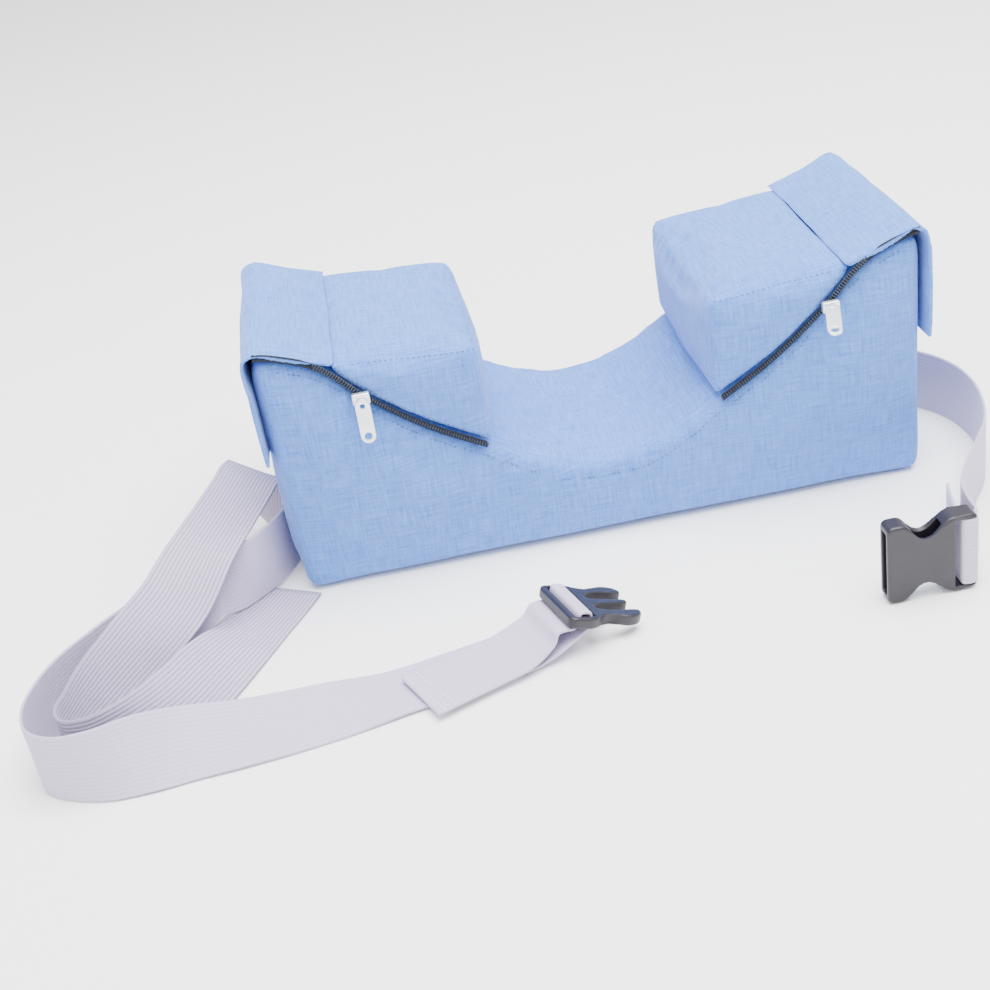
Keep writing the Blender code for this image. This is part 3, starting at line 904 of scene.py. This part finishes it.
@dataclass
class Cover:
    """The sewn cover of the base and the two wedges, with its topstitching."""

    stitch_row: PathRepeat
    stitch_pitch: float = 0.0030
    stitch_size: tuple = (0.0007, 0.0006, 0.0021)
    stitch_seed: int = 5
    hem_reach: float = 0.176
    hem_drop: float = 0.0080
    top_drop: float = 0.0030
    top_margin: tuple = (0.003, 0.015)
    upright: tuple = (0.078, 0.134)
    zip_run: tuple = (0.146, 0.068)
    zip_offsets: tuple = (0.0034, 0.0068)
    base_swelling: Swelling = Swelling(0.005, 0.0012, 0.0022)
    wedge_swelling: Swelling = Swelling(0.003, 0.0006, 0.0022)
    base_unevenness: float = 0.0008
    wedge_unevenness: float = 0.0009
    base_seed: float = 3.0
    wedge_seed: float = 7.0

    def wave_line(self, low: float, high: float, drop: float, count: int = 60) -> list[Vector]:
        """Draw a line on the front face, under the wave.

        Args:
            low: where it starts along the pillow.
            high: where it ends.
            drop: how far below the wave it runs.
            count: how many parts it has.

        Returns:
            Its points.
        """
        places = [low + (high - low) * step / count for step in range(count + 1)]
        return [Vector((x, FRONT, wave_height(x) - drop)) for x in places]

    def wedge_line(self, side: Side, count: int = 30) -> list[Vector]:
        """Draw a line on a wedge's front face, under its top edge.

        Args:
            side: which wedge.
            count: how many parts it has.

        Returns:
            Its points, from the wedge's inner end.
        """
        inner, outer = WEDGE_TOP
        span = WEDGE_OUTER - WEDGE_INNER
        run = span - sum(self.top_margin)
        places = [WEDGE_INNER + self.top_margin[0] + run * step / count for step in range(count + 1)]
        rise = (outer - inner) / span
        return [Vector((side.value * x, FRONT, inner + rise * (x - WEDGE_INNER) - self.top_drop))
                for x in places]

    def base(self) -> list[list[Vector]]:
        """Make the base.

        Returns:
            The paths of its stitches.
        """
        hem = self.wave_line(-self.hem_reach, self.hem_reach, self.hem_drop)
        base = Cushion("base_cushion", self.base_swelling, [hem], [hem], self.base_unevenness,
                       seed=self.base_seed)
        base.build()
        return [base.lay(hem)]

    def wedge(self, side: Side) -> list[list[Vector]]:
        """Make a wedge.

        Args:
            side: which wedge.

        Returns:
            The paths of its stitches.
        """
        top = self.wedge_line(side)
        inner = WEDGE_INNER * side.value
        upright = [Vector((inner, FRONT, height)) for height in self.upright]
        rim = [Vector((inner, place, WEDGE_TOP[0])) for place in (FRONT, -FRONT)]
        block = Cushion(f"wedge_{side.word}", self.wedge_swelling, [top, upright], [rim],
                        self.wedge_unevenness, seed=self.wedge_seed + side.value)
        block.build()
        outer, inner = (side.value * reach for reach in self.zip_run)
        zip_lines = [self.wave_line(outer, inner, -offset) for offset in self.zip_offsets]
        return [block.lay(path) for path in [top] + zip_lines]

    def build(self) -> None:
        """Make the three cushions and sew them."""
        rows = self.base() + self.wedge(Side.LEFT) + self.wedge(Side.RIGHT)
        thread = self.stitch_row.row("cover_stitches", [row for row in rows if len(row) > 1],
                                     self.stitch_pitch, Vector(self.stitch_size), OUTWARD,
                                     BLUE_THREAD, self.stitch_seed)
        report(thread, "blue_cloth")


@dataclass
class Flap:
    """A double cloth flap, sewn to its wedge and laid over the base's peak and end."""

    side: Side
    flat: tuple = (0.147, 0.110)
    voxel: float = 0.0012
    softening: int = 3
    unevenness: float = 0.0008
    swell_size: float = 0.030
    seed: float = 11.0
    sewn_reach: float = 0.0080
    sewn_rise: float = -0.0004
    sewn_end: float = 0.166
    sewn_span: float = 0.014
    hang_in: float = 0.0020
    hang_top: float = 0.150
    hang_span: float = 0.016
    hang_reach: float = 0.186

    def build(self) -> None:
        """Make the flap from its solid, drawn in to the wedge's edge."""
        node = f"flap_{self.side.word}"
        piece = link_mesh(node + "_cloth", merged_copy(node), FINISHES.get(ClothFinish()))
        regrid(piece, self.voxel, self.softening)
        relief = Relief(piece.data)
        relief.swell(self.unevenness, self.swell_size, self.seed + self.side.value)
        relief.finish()
        self.seat(piece)
        unwrap_faces(piece.data)
        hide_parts(node)
        report(piece, "blue_cloth")

    def seat(self, piece: bpy.types.Object) -> None:
        """Draw the flap's sewn edge to the wedge, and on the left its hanging part to the base's end.

        Args:
            piece: the flap.
        """
        spots = coordinates(piece.data)
        reach = self.side.value * spots[:, 0]
        pull = np.clip((self.sewn_end - reach) / self.sewn_span, 0.0, 1.0)
        spots[:, 0] -= self.side.value * pull * self.sewn_reach
        spots[:, 2] += pull * self.sewn_rise
        if self.side is Side.LEFT:
            hang = np.clip((self.hang_top - spots[:, 2]) / self.hang_span, 0.0, 1.0)
            spots[:, 0] += hang * (reach > self.hang_reach) * self.hang_in
        set_coordinates(piece.data, spots)


@dataclass
class Zip:
    """A zip in the groove under a wedge: two tapes, a row of teeth, closed inside and open outside."""

    side: Side
    tooth_row: PathRepeat
    start: float = 0.069
    end: float = 0.1875
    half: float = 0.0015
    deep: float = 0.0017
    lip: float = 0.0004
    thick: float = 0.0016
    fold_share: float = 0.6
    brim: float = 0.0006
    shoulder: float = 0.0002
    rise: float = 0.0014
    teeth_end: float = 0.156
    teeth_out: float = 0.0004
    teeth_part: float = 0.0011
    tooth_pitch: float = 0.0016
    tooth_size: tuple = (0.0022, 0.0010, 0.0010)
    tooth_seed: int = 9

    def path(self, low: float, high: float, rise: float = 0.0, out: float = 0.0,
             count: int = 40) -> list[Vector]:
        """Draw a line along the groove.

        Args:
            low: the reach where it starts.
            high: the reach where it ends.
            rise: how far above the zip's middle it runs.
            out: how far out of the front face it runs.
            count: how many parts it has.

        Returns:
            Its points.
        """
        places = [low + (high - low) * step / count for step in range(count + 1)]
        lift = self.rise + rise
        return [Vector((self.side.value * x, FRONT - out, wave_height(x) + lift)) for x in places]

    def tape(self) -> bpy.types.Object:
        """Make the tapes: a shallow trough of cloth that closes the groove.

        Returns:
            The piece.
        """
        shape = bmesh.new()
        rows = []
        fold, edge = self.fold_share * self.half, self.half + self.lip
        profile = ((-edge, self.brim), (-fold, -self.shoulder), (0.0, -self.deep),
                   (fold, -self.shoulder), (edge, self.brim))
        for spot in self.path(self.start, self.end):
            front = [shape.verts.new(spot + Vector((0, -out, up))) for up, out in profile]
            back = [shape.verts.new(spot + Vector((0, self.thick - out, up))) for up, out in profile]
            rows.append(front + back[::-1])
        count = len(rows[0])
        for first, second in zip(rows, rows[1:]):
            for index in range(count):
                after = (index + 1) % count
                shape.faces.new((first[index], first[after], second[after], second[index]))
        shape.faces.new(rows[0])
        shape.faces.new(rows[-1])
        bmesh.ops.recalc_face_normals(shape, faces=shape.faces)
        return link_mesh(f"zip_{self.side.word}_tape", mesh_of(shape, "tape"), FINISHES.get(TAPE))

    def build(self) -> None:
        """Make the tapes and the teeth."""
        tape = self.tape()
        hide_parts(f"zip_{self.side.word}")
        report(tape, "navy_zip")
        rows = [self.path(self.start, SLIDER_REACH, 0.0, self.teeth_out)]
        for part in (self.teeth_part, -self.teeth_part):
            rows.append(self.path(SLIDER_REACH, self.teeth_end, part, self.teeth_out))
        teeth = self.tooth_row.row(f"zip_{self.side.word}_teeth", rows, self.tooth_pitch,
                                   Vector(self.tooth_size), OUTWARD, TEETH, self.tooth_seed, 0.1)
        report(teeth, "navy_zip")


@dataclass
class Hardware:
    """A moulded or plated piece, made from its solid with softened edges."""

    node: str
    ending: str
    finish: PlainFinish
    slot: str
    voxel: float
    softening: int

    def build(self) -> None:
        """Round the piece's edges and let it replace its solid."""
        piece = link_mesh(f"{self.node}_{self.ending}", merged_copy(self.node), FINISHES.get(self.finish))
        regrid(piece, self.voxel, self.softening)
        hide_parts(self.node)
        report(piece, self.slot)


@dataclass
class Slider:
    """A zip's slider with its pull tab."""

    side: Side
    voxel: float = 0.00022
    softening: int = 3

    def build(self) -> None:
        """Make the slider and its tab."""
        for word in ("slider", "pull"):
            node = f"{word}_{self.side.word}"
            Hardware(node, "metal", PLATED, "silver_tab", self.voxel, self.softening).build()


@dataclass
class Buckle:
    """The buckle's two moulded halves."""

    voxel: float = 0.00050
    softening: int = 4

    def build(self) -> None:
        """Make the socket and the plug."""
        for node in ("buckle_socket", "buckle_plug"):
            Hardware(node, "moulded", BUCKLE, "black_buckle", self.voxel, self.softening).build()


@dataclass
class Strap:
    """A run of elastic webbing: stations of its middle and the way across it, ribbed along its length."""

    node: str
    spots: list[Vector]
    acrosses: list[Vector]
    rib_depth: float = 0.00012
    # how strongly painted shade darkens the grooves
    groove: float = 0.3
    width: float = 0.040
    thick: float = 0.0016
    ribs: int = 17
    parts_a_rib: int = 4
    edge_share: float = 0.7
    floor: float = 0.0002
    held: str = "laid"

    def length(self) -> float:
        """Length of the strap's middle line."""
        return sum((end - start).length for start, end in zip(self.spots, self.spots[1:]))

    def axes(self, index: int) -> tuple[Vector, Vector]:
        """Find a station's ways.

        Args:
            index: which station.

        Returns:
            The way across the strap, and the way out of its face.
        """
        ahead = self.spots[min(index + 1, len(self.spots) - 1)]
        behind = self.spots[max(index - 1, 0)]
        along = (ahead - behind).normalized()
        across = self.acrosses[index] - along * self.acrosses[index].dot(along)
        across.normalize()
        return across, along.cross(across)

    def section(self) -> list[tuple[float, float, float]]:
        """Draw the strap's ribbed section, round both of its faces.

        Returns:
            For each point its place across, its height and its depth in a groove from 0 to 1.
        """
        steps = self.ribs * self.parts_a_rib
        upper = []
        for step in range(steps + 1):
            share = step / steps
            depth = 0.5 + 0.5 * cos(2 * pi * self.ribs * share)
            half = self.thick / 2 - self.rib_depth * depth
            if step in (0, steps):
                half = self.edge_share * self.thick / 2
            upper.append((share * self.width, half, depth))
        return upper + [(place, -half, depth) for place, half, depth in reversed(upper)]

    def shape(self) -> bmesh.types.BMesh:
        """Sweep the section along the stations, with its UV map and its groove attribute of painted
        shade.

        Returns:
            The closed shape.
        """
        shape = bmesh.new()
        layer = shape.loops.layers.uv.new("cloth")
        groove_shade_layer = shape.verts.layers.float.new("groove")
        section = self.section()
        rows, gone = [], 0.0
        for index, spot in enumerate(self.spots):
            gone += (spot - self.spots[max(index - 1, 0)]).length
            across, normal = self.axes(index)
            row = []
            for place, height, depth in section:
                point = spot + across * (place - self.width / 2) + normal * height
                point.z = max(point.z, self.floor)
                vert = shape.verts.new(point)
                # painted shade, strongest at the bottom of each groove
                vert[groove_shade_layer] = self.groove * depth
                row.append((vert, place, gone))
            rows.append(row)
        count = len(section)
        for first, second in zip(rows, rows[1:]):
            for index in range(count):
                after = (index + 1) % count
                corners = (first[index], first[after], second[after], second[index])
                face = shape.faces.new([corner[0] for corner in corners])
                for loop, corner in zip(face.loops, corners):
                    loop[layer].uv = corner[1:]
        for row in (rows[0], rows[-1]):
            for index in range(count // 2 - 1):
                corners = (index, index + 1, count - 2 - index, count - 1 - index)
                shape.faces.new([row[corner][0] for corner in corners])
        bmesh.ops.recalc_face_normals(shape, faces=shape.faces)
        return shape

    def build(self) -> None:
        """Make the strap and let it replace its solid."""
        mesh = mesh_of(self.shape(), self.node)
        piece = link_mesh(self.node + "_web", mesh, FINISHES.get(WebbingFinish()))
        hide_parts(self.node)
        self.length()
        report(piece, "lilac_webbing")


# Stations of the webbing, in millimetres: the place of its middle, and the way across it
LONG_BELT = (
    (-192.4, -30, 20.6, 0, 0, 1), (-197, -41, 21.5, 0, 0, 1), (-206, -58, 23, 0, 0, 1),
    (-216, -70, 23.8, 0, 0, 1), (-227, -76, 24.5, -.12, .22, .97),
    (-241, -80, 25.2, -.30, .52, .80), (-257, -89, 18.5, -.38, .66, .64),
    (-274, -104, 18.5, -.22, .38, .90), (-289, -117.5, 21.2, -.06, .10, .99),
    (-303, -130, 21.2, 0, 0, 1), (-318, -149, 21.2, 0, 0, 1), (-328, -171, 21.2, 0, 0, 1),
    (-331.5, -192, 21.2, 0, 0, 1), (-327, -210, 21.2, 0, 0, 1), (-313, -220, 21.2, 0, 0, 1),
    (-295, -222.5, 20.8, 0, .17, .98), (-275, -217, 18.5, -.03, .50, .87),
    (-252, -208.5, 13, -.06, .80, .60), (-228, -204.5, 9.5, -.08, .91, .40),
    (-202, -200.5, 7, -.14, .94, .30), (-176, -195.5, 5, -.17, .96, .20),
    (-145, -188, 2.2, -.20, .98, 0), (-115, -182, 1.9, -.24, .97, 0),
    (-88, -176, 1.9, -.27, .96, 0), (-72, -172.5, 2.6, -.26, .96, -.02),
    (-60, -169.5, 5.0, -.22, .97, -.08))
TAIL = (
    (-64, -169.5, 11, -.27, .96, -.09), (-70, -172.5, 8.2, -.34, .93, -.06),
    (-81, -178, 5.4, -.42, .90, -.02), (-97, -184, 4.6, -.42, .90, 0),
    (-115, -191.5, 4.6, -.44, .89, 0), (-133, -199.5, 5.2, -.47, .88, .02))
LOOP_BELT = (
    (-198.4, -65.6, 1.8, -.86, .51, 0), (-209, -84, 2, -.86, .50, .06),
    (-219, -101, 3.4, -.84, .48, .13), (-233, -129, 9.4, -.79, .45, .42),
    (-244, -153, 14, -.64, .42, .64), (-256, -176, 17, -.47, .39, .79),
    (-268, -192.5, 19.4, -.25, .33, .91), (-283, -204, 21, -.05, .14, .99),
    (-298, -209.5, 21.4, 0, 0, 1), (-309.5, -207.5, 21.4, 0, 0, 1), (-314, -198, 21.4, 0, 0, 1),
    (-311, -184, 21.4, 0, 0, 1), (-298, -157, 22.5, -.27, .08, .96),
    (-284, -134, 24.5, -.44, .15, .88), (-274.5, -123.5, 28, -.61, .17, .77),
    (-260, -105.5, 33.5, -.74, .22, .63), (-242, -80, 47.4, -.87, .40, .27),
    (-228, -51, 52, -.86, .46, .20), (-217, -28, 55.5, -.78, .60, .20),
    (-211, -15, 57.5, -.76, .62, .18), (-208, -7, 55, -.74, .66, .12),
    (-207.5, -3, 47, -.70, .71, .05), (-209, -2, 32, -.64, .77, 0), (-209, 0, 16, -.50, .87, 0),
    (-206, 3, 5.5, -.25, .97, 0), (-199, 5.8, 1.8, 0, 1, 0), (-189.8, 6, 1.5, 0, 1, 0))
SHORT_BELT = (
    (191.8, 32, 20.6), (201, 23, 20.6), (213, 9.5, 20.6), (223, -5, 20.6), (229, -22, 20.6),
    (230.5, -42, 20.6), (227, -66, 20.6), (217, -94, 20.8), (199, -121, 21.4), (184, -143, 22.4),
    (175, -161, 23.4), (172, -176, 23.9), (171.2, -188, 23.9))
WEB_STEP = 4.0
WEB_THICK = 1.6
FREE = 0.4

PLUG_PLACE = Vector((-54.0, -165.5, 20.4))
PLUG_TURN = (12.0, 19.5, -6.0)
PLUG_THICK = 6.4
PLUG_SLOTS = (3.8, 7.8, 11.6)
SOCKET_BAR = Vector((164.5, -192.0, 0.0))
SOCKET_FACE = 4.0
BAR_HALF = 2.5
CORNER_SHARE = 0.7
ACROSS_WEIGHT = 20.0


def plug_frame() -> Matrix:
    """Rotation of the plug: X towards its prongs, Y across, Z out of its upper face."""
    yaw, pitch, roll = (radians(value) for value in PLUG_TURN)
    return Matrix.Rotation(yaw, 3, "Z") @ Matrix.Rotation(pitch, 3, "Y") @ Matrix.Rotation(roll, 3, "X")


def plug_station(forward: float, up: float) -> tuple:
    """A webbing station in the plug, in millimetres, from its forward and up sizes."""
    axes = plug_frame()
    return (*(PLUG_PLACE + axes @ Vector((forward, 0.0, up))), *(axes @ Vector((0.0, 1.0, 0.0))))


def split_stations(stations: list[tuple], step: float) -> tuple[list[Vector], list[Vector]]:
    """Middles and ways across of a run of webbing.

    Args:
        stations: rows of place and way across, in millimetres.
        step: distance between the points read from them.

    Returns:
        The middles and the ways across, in millimetres.
    """
    wide = [Vector((*row[:3], *(ACROSS_WEIGHT * value for value in row[3:]))) for row in stations]
    route = smooth_route(wide, step)
    return [Vector(spot[:3]) for spot in route], [Vector(spot[3:6]) for spot in route]


def round_a_bar(half: float, face: float, clear: float) -> list[tuple[float, float]]:
    """Places round a flat bar's two corners, from below its front to its rear side.

    Args:
        half: half of the bar's width.
        face: how far out its face is.
        clear: how far from it the webbing's middle runs.

    Returns:
        The places, along and out of the bar.
    """
    slant = CORNER_SHARE * clear
    return [(half + clear, face), (half + slant, face + slant), (half, face + clear),
            (-half, face + clear), (-half - slant, face + slant), (-half - clear, face)]


@dataclass
class Belt:
    """The elastic belt: its long run, slack stretch and short run, with stitches on the tail."""

    stitch_row: PathRepeat
    fine_step: float = WEB_STEP / 3
    # painted shade in the webbing's grooves: light on the tight runs, heavy on the slack stretch
    tight_groove_shade: float = 0.22
    slack_groove_shade: float = 0.85
    slack_rib: float = 0.00028
    plug_clear: float = 0.1
    socket_clear: float = 0.15
    stitch_places: tuple = (0.16, 0.48)
    stitch_rise: float = 0.9
    stitch_half: float = 18.0
    stitch_pitch: float = 0.0031
    stitch_size: tuple = (0.0009, 0.0006, 0.0022)
    stitch_seed: int = 3

    def long_run(self) -> Strap:
        """Draw the run to the plug, round its bar and back as the tail.

        Returns:
            The strap, in millimetres.
        """
        spots, acrosses = split_stations(LONG_BELT, WEB_STEP)
        rear, bar_rear, bar_front = PLUG_SLOTS
        half = (bar_front - bar_rear) / 2
        middle = bar_rear + half
        face = PLUG_THICK / 2
        clear = WEB_THICK / 2 + FREE + self.plug_clear
        slant = CORNER_SHARE * clear
        turn = [(half + clear, -face)] + round_a_bar(half, face, clear) + [(-half - clear, 0.0)]
        rising = [(middle + half - 1.1, -face - 3.4), (middle + half + 0.8, -face - 1.6)]
        falling = [(rear + 2.2, 0.6 - face), (rear + slant, -face - slant),
                   (rear - 0.4, -face - clear - 0.1), (0.0, -face - clear - 0.7),
                   (-4.0, -face - clear - 2.2)]
        places = rising + [(middle + along, up) for along, up in turn] + falling
        start = (*spots[-1], *(acrosses[-1] / ACROSS_WEIGHT))
        through = [plug_station(*place) for place in places]
        more, more_across = split_stations([start] + through + list(TAIL), self.fine_step)
        return Strap("belt_long", spots + more[1:], acrosses + more_across[1:],
                     groove=self.tight_groove_shade)

    def slack_run(self) -> Strap:
        """The stretch that lies out from the base's corner, turns and rises over the long run."""
        return Strap("belt_loop", *split_stations(LOOP_BELT, WEB_STEP), rib_depth=self.slack_rib,
                     groove=self.slack_groove_shade, held="draped")

    def short_run(self) -> Strap:
        """Draw the run from the base's right end to the socket's bar and back.

        Returns:
            The strap, in millimetres.
        """
        spots, acrosses = split_stations([row + tuple(UPWARD) for row in SHORT_BELT], WEB_STEP)
        clear = WEB_THICK / 2 + FREE + self.socket_clear
        height = spots[-1].z
        places = [(BAR_HALF + clear, 0.0)]
        places += [(along, -away) for along, away in round_a_bar(BAR_HALF, SOCKET_FACE, clear)]
        places += [(-BAR_HALF - clear, 0.0), (-BAR_HALF - clear, 4.5),
                   (-1.6, 13.0), (0.0, 21.0), (3.2, 33.0)]
        points = [spots[-1]]
        points += [Vector((SOCKET_BAR.x + along, SOCKET_BAR.y + away, height)) for along, away in places]
        more = smooth_route(points, self.fine_step)
        return Strap("belt_short", spots + more[1:], acrosses + [UPWARD] * (len(more) - 1),
                     groove=self.tight_groove_shade)

    def build(self) -> None:
        """Make the three runs and their stitches."""
        for strap in (self.long_run(), self.slack_run(), self.short_run()):
            strap.spots = [spot * MM for spot in strap.spots]
            strap.build()
        self.tail_stitches()

    def tail_stitches(self) -> None:
        """Set two rows of pale stitches across the tail's end."""
        end, before = (Vector(row[:3]) for row in (TAIL[-1], TAIL[-2]))
        across = Vector(TAIL[-1][3:]).normalized()
        rows = []
        for share in self.stitch_places:
            spot = end.lerp(before, share) + UPWARD * self.stitch_rise
            rows.append([(spot + across * place) * MM
                         for place in (-self.stitch_half, 0.0, self.stitch_half)])
        tail = self.stitch_row.row("tail_stitches", rows, self.stitch_pitch,
                                   Vector(self.stitch_size), UPWARD, PALE_THREAD, self.stitch_seed)
        report(tail, "lilac_webbing")


@dataclass(frozen=True)
class Studio:
    """The pale floor, the soft lights and the camera at the photograph's angle."""

    azimuth: float = -3.16348
    elevation: float = 29.58626
    roll: float = -9.76292
    lens: float = 54.605
    place: tuple = (-0.11173, -0.83223, 0.47434)
    sensor: float = 36.0
    floor_size: float = 6.0
    floor_grain: float = 3.0
    floor_shades: tuple = ((0.93, 0.93, 0.92, 1.0), (0.95, 0.95, 0.94, 1.0))
    aim: tuple = (0.0, -0.08, 0.05)
    key: tuple = ((0.25, -0.25, 2.0), 1.8, 150.0)
    fill: tuple = ((-1.3, -1.3, 1.0), 1.6, 12.0)
    sky_strength: float = 1.5

    def floor(self) -> None:
        """Lay a plain pale floor."""
        shape = bmesh.new()
        half = self.floor_size / 2
        corners = [(-half, -half, 0.0), (half, -half, 0.0), (half, half, 0.0), (-half, half, 0.0)]
        shape.faces.new([shape.verts.new(corner) for corner in corners])
        tree = MaterialTree("floor_paint")
        spot = tree.add("TexCoord").outputs["Object"]
        tree.finish(tree.blend(tree.noise(spot, self.floor_grain), *self.floor_shades),
                    {"Roughness": 0.9, "Specular IOR Level": 0.1})
        link_mesh("floor", mesh_of(shape, "floor"), tree.material)

    def light(self, name: str, place: tuple, size: float, power: float) -> None:
        """Add a soft square light that faces the pillow.

        Args:
            name: the light's name.
            place: where it stands.
            size: its side.
            power: its power in watts.
        """
        lamp = bpy.data.lights.new(name, "AREA")
        lamp.size = size
        lamp.energy = power
        item = bpy.data.objects.new(name, lamp)
        item.location = place
        item.rotation_euler = (Vector(place) - Vector(self.aim)).to_track_quat("Z", "Y").to_euler()
        bpy.context.scene.collection.objects.link(item)

    def camera(self) -> None:
        """Set the camera at the photograph's place."""
        turn, rise, lean = radians(self.azimuth), radians(self.elevation), radians(self.roll)
        back = Vector((sin(turn) * cos(rise), -cos(turn) * cos(rise), sin(rise)))
        right = UPWARD.cross(back).normalized()
        upward = back.cross(right)
        side = cos(lean) * right + sin(lean) * upward
        top = cos(lean) * upward - sin(lean) * right
        view = bpy.data.cameras.new("camera")
        view.lens = self.lens
        view.sensor_width = self.sensor
        item = bpy.data.objects.new("camera", view)
        item.matrix_world = Matrix((side, top, back)).transposed().to_4x4()
        item.location = self.place
        bpy.context.scene.collection.objects.link(item)
        bpy.context.scene.camera = item

    def build(self) -> None:
        """Set up the floor, the lights, the world and the camera."""
        self.floor()
        self.light("key", *self.key)
        self.light("fill", *self.fill)
        world = bpy.data.worlds.new("soft_light")
        world.use_nodes = True
        sky = world.node_tree.nodes["Background"]
        sky.inputs[0].default_value = (1.0, 1.0, 1.0, 1.0)
        sky.inputs[1].default_value = self.sky_strength
        bpy.context.scene.world = world
        self.camera()


def main() -> None:
    """Build the pillow's looks, piece by piece."""
    logging.basicConfig(level=logging.INFO, format="%(name)s: %(message)s")
    Studio().build()
    stitches = PathRepeat(Bead.STITCH)
    teeth = PathRepeat(Bead.TOOTH)
    Cover(stitches).build()
    for side in Side:
        Flap(side).build()
        Zip(side, teeth).build()
        Slider(side).build()
    Belt(stitches).build()
    Buckle().build()


if __name__ == "__main__":
    main()
